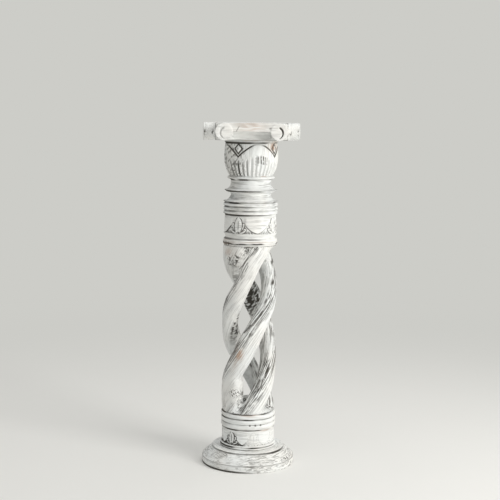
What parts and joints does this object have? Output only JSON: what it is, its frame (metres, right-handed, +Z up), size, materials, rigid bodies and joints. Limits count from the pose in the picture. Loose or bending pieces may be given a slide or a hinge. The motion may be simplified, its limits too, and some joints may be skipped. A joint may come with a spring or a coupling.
{
  "type": "pedestal column stand",
  "caption": "Free-standing carved wooden pedestal column with an open twisted shaft, fluted bell and square scrolled capital on a round stepped base.",
  "frame": {"origin": "centre of the base's underside, on the floor", "axes": "+Z up along the column's axis, -Y towards the front of the capital"},
  "size_m": [0.272, 0.272, 1],
  "materials": {
    "whitewashed_wood": "carved wood under worn white paint, with grey wash left in the grooves",
    "whitewashed_base": "turned wood under worn white paint, with grey brush streaks and dark marks on the rim",
    "whitewashed_capital": "carved wood under worn white paint, cream where it has rubbed thin",
    "dowel_wood": "plain turned hardwood",
    "screw_steel": "zinc-plated steel"
  },
  "bodies": {
    "root": {"base_disc": "whitewashed_base", "step_disc": "whitewashed_base", "base_screws": "screw_steel", "foot_drum": "whitewashed_wood", "open_twist": "whitewashed_wood", "carved_head": "whitewashed_wood", "capital_core": "whitewashed_capital", "scroll_dowels": "dowel_wood", "scroll_front": "whitewashed_capital", "scroll_right": "whitewashed_capital", "scroll_back": "whitewashed_capital", "scroll_left": "whitewashed_capital"}
  },
  "joints": []
}
